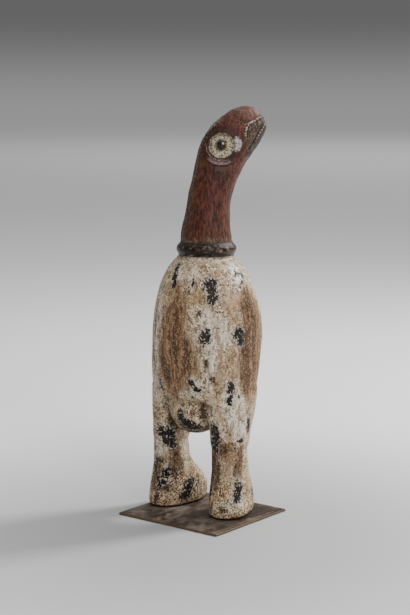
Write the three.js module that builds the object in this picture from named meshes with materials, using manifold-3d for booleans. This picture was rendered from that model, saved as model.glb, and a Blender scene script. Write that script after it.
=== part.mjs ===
// A long-necked, bird-like figure carved from one piece of wood, standing on a thin steel plate.
// Millimetres, +Z up. The figure faces -Y, its left side is +X.
// The origin is the middle of the plate's underside.

import * as THREE from 'three';
import { mergeVertices } from 'three/addons/utils/BufferGeometryUtils.js';
import Module from 'manifold-3d';

const wasm = await Module();
wasm.setup();

// Driving sizes
const PLATE_WIDTH = 152;
const PLATE_DEPTH = 140;
const PLATE_THICK = 3;
const PLATE_BEVEL = 0.5;
const FLOOR_Z = PLATE_THICK;             // the feet stand on the plate's top
const MID_X = 9.5;                       // the figure stands left of the plate's middle
const NECK_Y = -19.9;                    // the neck rises ahead of the legs
const COLLAR_Z = 327.2;
const COLLAR_RADIUS = 29.8;              // to the middle of the ring's own section
const COLLAR_HALF_HEIGHT = 7.6;
const COLLAR_HALF_WIDTH = 7.2;
const HEAD_TURN = THREE.MathUtils.degToRad(31.7);   // the head looks to the figure's right
const TOE_IN = THREE.MathUtils.degToRad(14);

// How finely the round forms are cut
const BODY_SIDES = 40;
const NECK_SIDES = 32;
const LEG_SIDES = 28;
const COLLAR_SIDES = 40;
const COLLAR_FACETS = 14;
const EYE_SIDES = 32;
const BODY_ROW = 8;                      // the tallest row of facets on each form
const LEG_ROW = 7.5;
const NECK_ROW = 7;
const MOUTH_STEPS = 8;

// Body and thighs, from the arch between the legs up to the collar: height above the plate,
// middle front to back, half width, half depth, squareness
const BODY = [
  [143, -11.5, 48, 37, 2.3],
  [146, -13, 60, 46.5, 2.3],
  [153, -14.5, 65.3, 51.5, 2.3],
  [163, -16, 66.8, 54.5, 2.28],
  [178, -17.8, 67.3, 58.2, 2.23],
  [200, -19.8, 66.8, 64, 2.12],
  [225, -21.8, 66, 69, 2.02],
  [244, -22, 64.4, 68, 2],
  [258, -20.8, 62, 64.5, 2],
  [273, -19.8, 58.2, 59, 2],
  [288, -19.5, 53.2, 53.5, 2],
  [300, -19.5, 47.3, 47.3, 2],
  [309, -19.5, 40.2, 40.2, 2],
  [318, -19.5, 31, 31, 2],
];

// The rounded pouch that hangs in the arch between the legs
const POUCH = { z: 132, y: 0, halfWidth: 34, halfDepth: 33, halfHeight: 34 };

// A leg, from the sole to where it sinks into the body: height above the plate, distance from
// the middle, middle front to back, reach to the front, reach to the back, half width, squareness
const LEG = [
  [0, 45.2, -6, 48, 24, 20, 2],
  [4, 45.2, -6, 53, 28.5, 22.4, 2],
  [13, 45.2, -6, 55, 29.5, 23.2, 2],
  [24, 45.3, -6, 53, 28.5, 23.2, 2.05],
  [35, 45.5, -6, 45, 26, 22.4, 2.1],
  [48, 45.8, -6, 34, 23, 20.8, 2.2],
  [60, 46, -6, 26, 21.2, 20, 2.3],
  [86, 46, -6, 21.6, 20.8, 20, 2.35],
  [89, 45.8, -6.5, 24, 22.6, 21.6, 2.35],
  [105, 45.2, -8.5, 27, 25, 22.3, 2.35],
  [125, 43, -11.8, 34, 32.5, 24.2, 2.3],
  [142, 40.8, -14, 39.5, 38, 25.4, 2.25],
  [154, 39.2, -15, 42, 40.5, 26.4, 2.25],
  [168, 35.5, -15.5, 40, 38, 26, 2.25],
  [180, 31, -15.5, 34, 32, 23, 2.2],
];
const TOE_START_Z = 66;                  // below this height the foot starts to turn inward
const TOE_FULL_Z = 36;                   // and below this one it is turned all the way

// Neck and head, in the upright plane that the head looks along: forward reach, height above
// the plate, reach to the crown, reach to the throat, half width across
const NECK = [
  [0, 316, 26, 26, 26],
  [0.3, 333, 32.5, 31, 31],
  [0.3, 344, 31.6, 29.5, 30],
  [1.8, 358, 29.6, 27, 28],
  [3.8, 380, 27.4, 25.2, 26.4],
  [8.5, 402, 27, 26, 25.8],
  [14.6, 422, 28.8, 27.8, 25.8],
  [22.5, 440, 31.4, 29.4, 25.6],
  [32, 454, 31.4, 30, 24.8],
  [43, 467, 27.6, 29.4, 22.8],
  [51, 475.5, 24, 27.6, 20],
  [58, 481.5, 19.1, 25, 16.8],
  [62.5, 485.3, 15.3, 22.2, 13.8],
  [66.3, 488.2, 8.2, 17.8, 9.5],
];

// Mouth: a groove round the beak, from the tip back towards the throat on both sides, as
// forward reach and height above the plate
const MOUTH = {
  tip: [82, 489], bend: [64, 466], corner: [47, 446], width: 2.4, cornerWidth: 1, depth: 2.2,
};

// Eyes: on each side of the head, a low disc that follows its surface, with a domed pupil.
// The middle's place is given as forward reach, height above the plate and distance sideways,
// and the eye looks out along facing, which is given in the same three directions.
const EYE = {
  place: [10.5, 450, 22.2], facing: [-0.33, 0.23, 0.92],
  radius: 16, rise: 0.9, pupilRadius: 5.8, pupilRise: 2.4,
};

// The small cut at the top of each thigh's rear edge, placed by its angle from the middle of the back
const THIGH_CUT = { angle: THREE.MathUtils.degToRad(41), z: 187.5, width: 4.5, height: 16, depth: 2.8 };

// Cubic blending between neighbouring stations that never swings past them
function slopes(xs, ys) {
  const secant = [];
  for (let i = 0; i < xs.length - 1; i++) {
    secant.push((ys[i + 1] - ys[i]) / (xs[i + 1] - xs[i]));
  }
  const out = [secant[0]];
  for (let i = 1; i < xs.length - 1; i++) {
    const before = secant[i - 1];
    const after = secant[i];
    const sameWay = before * after > 0;
    out.push(sameWay ? 2 * before * after / (before + after) : 0);
  }
  out.push(secant[secant.length - 1]);
  return out;
}

function sampleColumn(xs, ys, x) {
  const m = slopes(xs, ys);
  let i = 0;
  while (i < xs.length - 2 && x > xs[i + 1]) i++;
  const h = xs[i + 1] - xs[i];
  const t = (x - xs[i]) / h;
  const a = (1 + 2 * t) * (1 - t) * (1 - t);
  const b = t * (1 - t) * (1 - t);
  const c = t * t * (3 - 2 * t);
  const d = t * t * (t - 1);
  return a * ys[i] + b * h * m[i] + c * ys[i + 1] + d * h * m[i + 1];
}

// Rows between the stations, so that no two rows are further apart than the given spacing
function fillStations(stations, along, spacing) {
  const xs = [];
  let run = 0;
  stations.forEach((row, i) => {
    if (i > 0) run += along(stations[i - 1], row);
    xs.push(run);
  });
  const rows = [];
  for (let i = 0; i < stations.length - 1; i++) {
    const parts = Math.max(1, Math.round((xs[i + 1] - xs[i]) / spacing));
    for (let k = 0; k < parts; k++) {
      const x = xs[i] + (xs[i + 1] - xs[i]) * k / parts;
      rows.push(stations[0].map((_, c) => sampleColumn(xs, stations.map((s) => s[c]), x)));
    }
  }
  rows.push([...stations[stations.length - 1]]);
  return rows;
}

// One closed curve around a middle point, with its reach forward, its reach back and half its
// width. A squareness of 2 is an ellipse, and more pushes out the corners.
function ring(middle, forward, side, fore, back, halfWidth, squareness, sides) {
  const points = [];
  const power = 2 / squareness;
  for (let i = 0; i < sides; i++) {
    const angle = 2 * Math.PI * i / sides;
    const c = Math.cos(angle);
    const s = Math.sin(angle);
    const u = Math.sign(c) * Math.abs(c) ** power * (c > 0 ? fore : back);
    const v = Math.sign(s) * Math.abs(s) ** power * halfWidth;
    points.push(middle.clone().addScaledVector(forward, u).addScaledVector(side, v));
  }
  return points;
}

// A closed skin over a row of rings, with a fan over each end
function skin(rings) {
  const sides = rings[0].length;
  const position = [];
  const index = [];
  rings.flat().forEach((p) => position.push(p.x, p.y, p.z));
  for (let r = 0; r < rings.length - 1; r++) {
    for (let i = 0; i < sides; i++) {
      const j = (i + 1) % sides;
      const a = r * sides + i;
      const b = r * sides + j;
      index.push(a, b, b + sides, a, b + sides, a + sides);
    }
  }
  [0, rings.length - 1].forEach((r) => {
    const middle = new THREE.Vector3();
    rings[r].forEach((p) => middle.addScaledVector(p, 1 / sides));
    const apex = position.length / 3;
    position.push(middle.x, middle.y, middle.z);
    for (let i = 0; i < sides; i++) {
      const a = r * sides + i;
      const b = r * sides + (i + 1) % sides;
      if (r === 0) index.push(apex, b, a);
      else index.push(apex, a, b);
    }
  });
  const geometry = new THREE.BufferGeometry();
  geometry.setAttribute('position', new THREE.Float32BufferAttribute(position, 3));
  geometry.setIndex(index);
  return geometry;
}

// Between a three.js geometry and a solid that can be joined and cut
function toSolid(geometry) {
  const bare = geometry.clone();
  bare.deleteAttribute('normal');
  bare.deleteAttribute('uv');
  const merged = mergeVertices(bare, 1e-4);
  const solid = new wasm.Manifold(new wasm.Mesh({
    numProp: 3,
    vertProperties: new Float32Array(merged.attributes.position.array),
    triVerts: new Uint32Array(merged.index.array),
  }));
  if (solid.volume() > 0) return solid;
  throw new Error('a form is inside out');
}

function toGeometry(solid) {
  const mesh = solid.getMesh();
  const geometry = new THREE.BufferGeometry();
  geometry.setAttribute('position', new THREE.BufferAttribute(mesh.vertProperties, 3));
  geometry.setIndex(new THREE.BufferAttribute(mesh.triVerts, 1));
  return geometry;
}

const LEFT = new THREE.Vector3(1, 0, 0);
const FRONT = new THREE.Vector3(0, -1, 0);
const UP = new THREE.Vector3(0, 0, 1);
const HEAD_FRONT = FRONT.clone().applyAxisAngle(UP, -HEAD_TURN);
const HEAD_LEFT = LEFT.clone().applyAxisAngle(UP, -HEAD_TURN);

function heightStep(a, b) {
  return Math.abs(b[0] - a[0]);
}

function buildBody() {
  const rows = fillStations(BODY, heightStep, BODY_ROW);
  return toSolid(skin(rows.map(([z, y, halfWidth, halfDepth, squareness]) => ring(
    new THREE.Vector3(MID_X, y, FLOOR_Z + z), FRONT, LEFT,
    halfDepth, halfDepth, halfWidth, squareness, BODY_SIDES,
  ))));
}

function buildPouch() {
  const ball = new THREE.SphereGeometry(1, 28, 18);
  ball.rotateX(Math.PI / 2);
  ball.scale(POUCH.halfWidth, POUCH.halfDepth, POUCH.halfHeight);
  ball.translate(MID_X, POUCH.y, FLOOR_Z + POUCH.z);
  return toSolid(ball);
}

// side is +1 for the figure's left leg and -1 for its right
function buildLeg(side) {
  const rows = fillStations(LEG, heightStep, LEG_ROW);
  return toSolid(skin(rows.map(([z, spread, y, fore, back, halfWidth, squareness]) => {
    const share = THREE.MathUtils.clamp((TOE_START_Z - z) / (TOE_START_Z - TOE_FULL_Z), 0, 1);
    const turn = -side * TOE_IN * share;
    return ring(
      new THREE.Vector3(MID_X + side * spread, y, FLOOR_Z + z),
      FRONT.clone().applyAxisAngle(UP, turn), LEFT.clone().applyAxisAngle(UP, turn),
      fore, back, halfWidth, squareness, LEG_SIDES,
    );
  })));
}

// A point of the upright plane that the head looks along
function headPoint(forward, z, across = 0) {
  return new THREE.Vector3(MID_X, NECK_Y, FLOOR_Z + z)
    .addScaledVector(HEAD_FRONT, forward)
    .addScaledVector(HEAD_LEFT, across);
}

// inset makes the same form smaller all round
function buildNeck(inset = 0) {
  const rows = fillStations(NECK, (a, b) => Math.hypot(b[0] - a[0], b[1] - a[1]), NECK_ROW);
  const rings = rows.map(([forward, z, crown, throat, halfWidth], i) => {
    const before = rows[Math.max(0, i - 1)];
    const after = rows[Math.min(rows.length - 1, i + 1)];
    const along = headPoint(after[0], after[1]).sub(headPoint(before[0], before[1])).normalize();
    const throatWay = new THREE.Vector3().crossVectors(HEAD_LEFT, along).normalize();
    return ring(
      headPoint(forward, z), throatWay, HEAD_LEFT,
      throat - inset, crown - inset, halfWidth - inset, 2, NECK_SIDES,
    );
  });
  return toSolid(skin(rings));
}

function buildCollar() {
  const outline = [];
  for (let i = 0; i <= COLLAR_FACETS; i++) {
    const angle = 2 * Math.PI * i / COLLAR_FACETS;
    outline.push(new THREE.Vector2(
      COLLAR_RADIUS + COLLAR_HALF_WIDTH * Math.cos(angle),
      COLLAR_HALF_HEIGHT * Math.sin(angle),
    ));
  }
  const collar = new THREE.LatheGeometry(outline, COLLAR_SIDES);
  collar.rotateX(Math.PI / 2);
  collar.translate(MID_X, NECK_Y, COLLAR_Z);
  return toSolid(collar);
}

// The mouth cuts only as deep as the room between the head and the same head made smaller
function buildMouth() {
  const [tip, bend, corner] = [MOUTH.tip, MOUTH.bend, MOUTH.corner].map((p) => new THREE.Vector2(...p));
  const line = new THREE.QuadraticBezierCurve(tip, bend, corner);
  const upper = [];
  const lower = [];
  for (let i = 0; i <= MOUTH_STEPS; i++) {
    const t = i / MOUTH_STEPS;
    const point = line.getPoint(t);
    const tangent = line.getTangent(t);
    const half = THREE.MathUtils.lerp(MOUTH.width, MOUTH.cornerWidth, t * t) / 2;
    const away = new THREE.Vector2(-tangent.y, tangent.x).multiplyScalar(half);
    upper.push(point.clone().add(away));
    lower.unshift(point.clone().sub(away));
  }
  const halfAcross = 40;
  const slab = new THREE.ExtrudeGeometry(new THREE.Shape([...upper, ...lower]), {
    depth: 2 * halfAcross, bevelEnabled: false,
  });
  slab.translate(0, 0, -halfAcross);
  const across = HEAD_FRONT.clone().cross(UP);
  const place = new THREE.Matrix4().makeBasis(HEAD_FRONT, UP, across).setPosition(headPoint(0, 0));
  slab.applyMatrix4(place);
  return toSolid(slab).subtract(buildNeck(MOUTH.depth));
}

// side is +1 for the eye on the head's left and -1 for the one on its right
function buildEye(side) {
  const [forward, z, across] = EYE.place;
  const facing = new THREE.Vector3()
    .addScaledVector(HEAD_FRONT, EYE.facing[0])
    .addScaledVector(UP, EYE.facing[1])
    .addScaledVector(HEAD_LEFT, side * EYE.facing[2])
    .normalize();
  const place = new THREE.Matrix4()
    .makeRotationFromQuaternion(new THREE.Quaternion().setFromUnitVectors(UP, facing))
    .setPosition(headPoint(forward, z, side * across));
  const plug = new THREE.CylinderGeometry(EYE.radius, EYE.radius, EYE.radius, EYE_SIDES);
  plug.rotateX(Math.PI / 2);
  plug.applyMatrix4(place);
  const pupil = new THREE.SphereGeometry(EYE.pupilRadius, 14, 9);
  pupil.rotateX(Math.PI / 2);
  pupil.scale(1, 1, EYE.pupilRise / EYE.pupilRadius);
  pupil.applyMatrix4(place);
  return buildNeck(-EYE.rise).intersect(toSolid(plug)).add(toSolid(pupil));
}

// How far the body's surface is from its middle line, at an angle from the middle of the back
function bodyReach(angle, z) {
  const heights = BODY.map((row) => row[0]);
  const [y, halfWidth, halfDepth, squareness] = [1, 2, 3, 4].map(
    (column) => sampleColumn(heights, BODY.map((row) => row[column]), z),
  );
  const along = Math.abs(Math.cos(angle) / halfDepth) ** squareness;
  const aside = Math.abs(Math.sin(angle) / halfWidth) ** squareness;
  return { y, reach: (along + aside) ** (-1 / squareness) };
}

// side is +1 for the left thigh and -1 for the right
function buildThighCut(side) {
  const { y, reach } = bodyReach(THIGH_CUT.angle, THIGH_CUT.z);
  const box = new THREE.BoxGeometry(THIGH_CUT.width, 2 * THIGH_CUT.depth, THIGH_CUT.height);
  box.translate(0, reach, 0);
  box.rotateZ(-side * THIGH_CUT.angle);
  box.translate(MID_X, y, FLOOR_Z + THIGH_CUT.z);
  return toSolid(box);
}

const head = buildNeck().subtract(buildMouth()).add(buildEye(1)).add(buildEye(-1));
const trunk = buildBody().subtract(buildThighCut(1)).subtract(buildThighCut(-1)).add(buildPouch());
const figure = trunk.add(buildLeg(1)).add(buildLeg(-1)).add(head).add(buildCollar());

function buildPlate() {
  const shape = new THREE.Shape();
  const halfWidth = PLATE_WIDTH / 2 - PLATE_BEVEL;
  const halfDepth = PLATE_DEPTH / 2 - PLATE_BEVEL;
  shape.moveTo(-halfWidth, -halfDepth);
  shape.lineTo(halfWidth, -halfDepth);
  shape.lineTo(halfWidth, halfDepth);
  shape.lineTo(-halfWidth, halfDepth);
  shape.closePath();
  const plate = new THREE.ExtrudeGeometry(shape, {
    depth: PLATE_THICK - 2 * PLATE_BEVEL,
    bevelEnabled: true,
    bevelSize: PLATE_BEVEL,
    bevelThickness: PLATE_BEVEL,
    bevelSegments: 1,
  });
  plate.translate(0, 0, PLATE_BEVEL);
  return plate;
}

const woodFinish = new THREE.MeshStandardMaterial({ color: 0xb5a58c, roughness: 0.75, metalness: 0 });
const steelFinish = new THREE.MeshStandardMaterial({ color: 0x4a4039, roughness: 0.5, metalness: 0.8 });

const figureMesh = new THREE.Mesh(toGeometry(figure), woodFinish);
figureMesh.name = 'figure';
const plateMesh = new THREE.Mesh(buildPlate(), steelFinish);
plateMesh.name = 'base_plate';

const part = new THREE.Group();
part.add(figureMesh, plateMesh);

export default part;
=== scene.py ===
# %% [markdown]
# # A painted, long-necked wooden figure on a steel plate
# The figure was carved from one piece of wood, painted in cream, red-brown and black, and has
# lost much of that paint with age. The solid model already has its size and main forms. This
# lesson carves the finer surface into a copy of it, works out where each paint lies, and
# builds the materials, the light and the camera around it.

import math

import bpy
import numpy as np
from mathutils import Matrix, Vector, noise
from mathutils.bvhtree import BVHTree


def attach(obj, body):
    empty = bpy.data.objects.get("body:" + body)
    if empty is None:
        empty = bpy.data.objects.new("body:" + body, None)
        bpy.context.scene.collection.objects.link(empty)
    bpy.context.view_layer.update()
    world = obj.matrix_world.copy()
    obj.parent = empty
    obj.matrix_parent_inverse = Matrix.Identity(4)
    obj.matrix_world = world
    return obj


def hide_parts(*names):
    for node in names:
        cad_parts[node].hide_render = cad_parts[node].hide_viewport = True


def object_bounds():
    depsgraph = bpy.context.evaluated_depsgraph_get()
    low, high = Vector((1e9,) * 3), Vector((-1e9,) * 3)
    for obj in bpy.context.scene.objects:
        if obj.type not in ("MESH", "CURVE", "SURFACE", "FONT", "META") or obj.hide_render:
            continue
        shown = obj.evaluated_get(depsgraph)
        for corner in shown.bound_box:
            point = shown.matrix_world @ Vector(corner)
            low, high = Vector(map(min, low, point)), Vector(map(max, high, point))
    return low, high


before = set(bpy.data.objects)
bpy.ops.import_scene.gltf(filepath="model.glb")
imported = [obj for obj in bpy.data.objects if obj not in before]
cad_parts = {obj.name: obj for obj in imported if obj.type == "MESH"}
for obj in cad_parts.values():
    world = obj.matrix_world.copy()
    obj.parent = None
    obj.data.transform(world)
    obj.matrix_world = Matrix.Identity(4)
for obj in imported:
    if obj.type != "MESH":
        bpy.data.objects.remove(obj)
cad_low, cad_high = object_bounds()
MM = 0.001
MIDDLE_X = 9.5  # the body's middle plane lies to the left of the plate's
print("model box in mm:", [round(v / MM, 1) for v in (*cad_low, *cad_high)])

# %% [markdown]
# The camera stands behind the figure and to its right, level with the top of its head, and
# looks slightly down. A long lens keeps the proportions calm, as in a studio.

# %% Camera
CAMERA_PLACE = Vector((-1120, 1413.5, 517)) * MM
CAMERA_HEADING = math.radians(218.3)
CAMERA_PITCH = math.radians(8.2)
CAMERA_LENS = 87.8
SENSOR = 36

lens = bpy.data.cameras.new("studio_camera")
lens.lens = CAMERA_LENS
lens.sensor_width = SENSOR
lens.clip_end = 60
camera = bpy.data.objects.new("studio_camera", lens)
bpy.context.scene.collection.objects.link(camera)
camera.location = CAMERA_PLACE
camera.rotation_euler = (math.pi / 2 - CAMERA_PITCH, 0, CAMERA_HEADING)
bpy.context.scene.camera = camera
print("camera distance in m:", round(CAMERA_PLACE.length, 3))

# %% [markdown]
# The skin starts as a copy of the solid. Its triangles are long and uneven, which is no use
# for fine carving, so a Remesh modifier rebuilds it from small even squares, and a Smooth
# modifier takes the facets off. Sculpting by hand would do as well, but this gives the same
# result on each run.

# %% Copy the solid and rebuild its skin
SKIN_STEP = 1.65 * MM

def only(piece):
    """Select one piece and make it the active one."""
    bpy.ops.object.select_all(action="DESELECT")
    piece.select_set(True)
    bpy.context.view_layer.objects.active = piece


def finish_modifier(piece, kind, **settings):
    """Add a modifier, set it up and apply it."""
    only(piece)
    modifier = piece.modifiers.new(kind.lower(), kind)
    for name, value in settings.items():
        setattr(modifier, name, value)
    bpy.ops.object.modifier_apply(modifier=modifier.name)


figure = bpy.data.objects.new("carved_figure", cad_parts["figure"].data.copy())
bpy.context.scene.collection.objects.link(figure)
only(figure)
bpy.ops.object.mode_set(mode="EDIT")
bpy.ops.mesh.select_all(action="SELECT")
bpy.ops.mesh.remove_doubles(threshold=0.01 * MM)
bpy.ops.object.mode_set(mode="OBJECT")
finish_modifier(figure, "REMESH", mode="VOXEL", voxel_size=SKIN_STEP, adaptivity=0)
finish_modifier(figure, "SMOOTH", factor=0.5, iterations=5)
print("skin faces:", len(figure.data.polygons))

# %% [markdown]
# The pouch is a ball in the solid, and it meets the thighs and the arch over it in creases that
# are too sharp for wood. A Smooth modifier melts them. A vertex group holds it to the place and
# fades it out towards the edge.

# %% Melt the pouch and the arch over it into the thighs
MELT_HALF_WIDTH, FRONT_FADE = 44, 5


def melt(rounds, share_at):
    """Smooth the back half of the skin, by the share that share_at gives for a place."""
    group = figure.vertex_groups.new(name="melting")
    for vertex in figure.data.vertices:
        x, y, z = vertex.co / MM
        share = min(1, y / FRONT_FADE, share_at(x, z))
        if share > 0:
            group.add([vertex.index], share, "REPLACE")
    finish_modifier(figure, "SMOOTH", factor=0.5, iterations=rounds, vertex_group=group.name)
    figure.vertex_groups.clear()


def round_pouch(x, z):
    """All round the pouch, from 104 to 164 mm up."""
    return min((z - 104) / 8, (164 - z) / 8) if abs(x - MIDDLE_X) < MELT_HALF_WIDTH else 0


def upper_crease(x, z):
    """The crease under the arch, from 116 to 174 mm up, more of it on the left."""
    return min((z - 116) / 14, (174 - z) / 8, (x + 16) / 10) if x < 54 else 0


melt(30, round_pouch)
melt(70, upper_crease)
print("highest point of the skin in mm:", round(max(v.co.z for v in figure.data.vertices) / MM, 1))

# %% [markdown]
# The eyes, the beak's base and the row of beads on the nape need smaller faces than the
# rest. Their faces are picked by place, in the upright plane that the head looks along, and
# subdivided once. Doing that all over would take more than three times as many triangles.

# %% The head's own directions, and finer faces on its details
HEAD_TURN = math.radians(31.7)
HEAD_START = np.array([MIDDLE_X, -19.9, 3])
HEAD_FORWARD = np.array([-math.sin(HEAD_TURN), -math.cos(HEAD_TURN), 0])
HEAD_LEFT = np.array([math.cos(HEAD_TURN), -math.sin(HEAD_TURN), 0])
EYE_FORWARD, EYE_HEIGHT, EYE_ACROSS = 10.5, 450, 22.2
EYE_FACING = (-0.33, 0.23, 0.92)
BEAK_BASE = [(74, 484.5), (60.4, 480.9), (46, 475), (42, 466.7), (41.8, 459.6),
             (43.5, 447), (49, 438)]
MOUTH = [(82, 489), (68.1, 473.5), (62.6, 467.6), (57.6, 460.5), (51.4, 450.2), (47, 445)]
NAPE = [(38, 490), (26, 482), (14, 473.5), (3, 463), (-4.5, 452), (-10, 440),
        (-14.5, 424), (-18, 404)]
BEAD_ACROSS = -3.5
HEAD_FROM, EYE_DEEP = 395, 14


def skin_points():
    """The skin's points and outward directions, in millimetres."""
    count = len(figure.data.vertices)
    points = np.empty(count * 3)
    normals = np.empty(count * 3)
    figure.data.vertices.foreach_get("co", points)
    figure.data.vertices.foreach_get("normal", normals)
    return points.reshape(-1, 3) / MM, normals.reshape(-1, 3)


def head_place(points):
    """Forward reach, height above the plate and distance to the left, seen from the neck's foot."""
    away = points - HEAD_START
    return away @ HEAD_FORWARD, away[:, 2], away @ HEAD_LEFT


def from_line(across, up, line):
    """How far places in a plane are from a bent line, more than zero on its left, and how far along it."""
    nearest = np.full(len(across), 1e9)
    along = np.zeros(len(across))
    left = np.ones(len(across))
    run = 0
    for (x0, y0), (x1, y1) in zip(line, line[1:]):
        length = math.hypot(x1 - x0, y1 - y0)
        t = np.clip(((across - x0) * (x1 - x0) + (up - y0) * (y1 - y0)) / length**2, 0, 1)
        gap = np.hypot(across - x0 - t * (x1 - x0), up - y0 - t * (y1 - y0))
        turn = (x1 - x0) * (up - y0) - (y1 - y0) * (across - x0)
        closer = gap < nearest
        along = np.where(closer, run + t * length, along)
        left = np.where(closer, np.sign(turn), left)
        nearest = np.minimum(nearest, gap)
        run += length
    return left * nearest, along


def eye_frame(side):
    """The middle of an eye and its forward, up and outward directions. side is +1 on the left."""
    middle = HEAD_START + EYE_FORWARD * HEAD_FORWARD + side * EYE_ACROSS * HEAD_LEFT
    middle = middle + np.array([0, 0, EYE_HEIGHT])
    facing = EYE_FACING[0] * HEAD_FORWARD + side * EYE_FACING[2] * HEAD_LEFT
    facing = facing + np.array([0, 0, EYE_FACING[1]])
    facing = facing / np.linalg.norm(facing)
    ahead = HEAD_FORWARD - (HEAD_FORWARD @ facing) * facing
    ahead = ahead / np.linalg.norm(ahead)
    up = np.cross(ahead, facing) * side
    return middle, ahead, up, facing


def eye_place(points):
    """Where points lie in the plane of the nearer eye: forward, up and outward of its middle."""
    _, _, across = head_place(points)
    out = np.zeros_like(points)
    for side in (1, -1):
        mine = (across >= 0) == (side > 0)
        middle, ahead, up, facing = eye_frame(side)
        away = points[mine] - middle
        out[mine] = np.stack([away @ ahead, away @ up, away @ facing], axis=1)
    return out


points, _ = skin_points()
forward, height, across = head_place(points)
eyes = eye_place(points)
near_eye = (np.hypot(eyes[:, 0], eyes[:, 1]) < 26) & (np.abs(eyes[:, 2]) < EYE_DEEP)
near_beak = np.abs(from_line(forward, height, BEAK_BASE)[0]) < 4
near_beak |= np.abs(from_line(forward, height, MOUTH)[0]) < 4
near_nape = (np.abs(from_line(forward, height, NAPE)[0]) < 7) & (np.abs(across - BEAD_ACROSS) < 4)
fine = (near_eye | near_beak | near_nape) & (height > HEAD_FROM)
corners = np.empty(len(figure.data.loops), dtype=np.int32)
figure.data.loops.foreach_get("vertex_index", corners)
chosen = fine[corners].reshape(-1, 4).all(axis=1)
only(figure)
bpy.ops.object.mode_set(mode="EDIT")
bpy.ops.mesh.select_mode(type="FACE")
bpy.ops.mesh.select_all(action="DESELECT")
bpy.ops.object.mode_set(mode="OBJECT")
figure.data.polygons.foreach_set("select", chosen)
bpy.ops.object.mode_set(mode="EDIT")
bpy.ops.mesh.subdivide(number_cuts=1)
bpy.ops.object.mode_set(mode="OBJECT")
triangles = sum(len(face.vertices) - 2 for face in figure.data.polygons)
print("fine faces:", int(chosen.sum()), "triangles now:", triangles)

# %% [markdown]
# The paint was brushed on in places: long dabs of black on the cream, bare brown bands down
# the back and both flanks where the cream has worn off, and stains of ochre. Each place is
# named by the limb it is on, its angle from the middle of that limb's back (more than zero is
# towards the figure's right), its height and its size. A ray from inside the limb finds the
# skin there. The camera sees angles from about -52 to 128. What lies beyond them is made up,
# in keeping with the rest. What each point then stores is a field: 1 in the middle of a dab,
# 0 at its edge and less outside, so that the material can later tear the edge.

# %% Places on the limbs
LIMBS = {"body": (MIDDLE_X, -20), "pouch": (MIDDLE_X, 0), "right": (-35.5, -8), "left": (54.5, -8)}
points, normals = skin_points()
skin_tree = BVHTree.FromObject(figure, bpy.context.evaluated_depsgraph_get())


def skin_at(limb, angle, height):
    """The place on the skin at an angle and a height, with the direction round the limb and outward."""
    turn = math.radians(angle)
    outward = np.array([-math.sin(turn), math.cos(turn), 0])
    sideways = np.array([-math.cos(turn), -math.sin(turn), 0])
    start = np.array([*LIMBS[limb], height])
    hit = skin_tree.ray_cast(Vector(start * MM), Vector(outward))[0]
    return np.array(hit) / MM, sideways, outward


DAB_WRAP = 9


def dab_field(dabs):
    """1 in the middle of the nearest dab, 0 at its edge.

    dabs names limbs, each with rows of angle, height, half width and half height. A fifth
    number makes a dab lean to the right as it rises.
    """
    field = np.full(len(points), -2)
    for limb, rows in dabs.items():
        for row in rows:
            angle, height, half_width, half_height, lean = (*row, 0)[:5]
            middle, sideways, outward = skin_at(limb, angle, height)
            away = points - middle
            aside = away @ sideways - lean * away[:, 2]
            depth = away @ outward
            reach = np.sqrt((aside / half_width) ** 2 + (away[:, 2] / half_height) ** 2
                            + (depth / (half_width + DAB_WRAP)) ** 2)
            field = np.maximum(field, 1 - reach)
    return field


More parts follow.
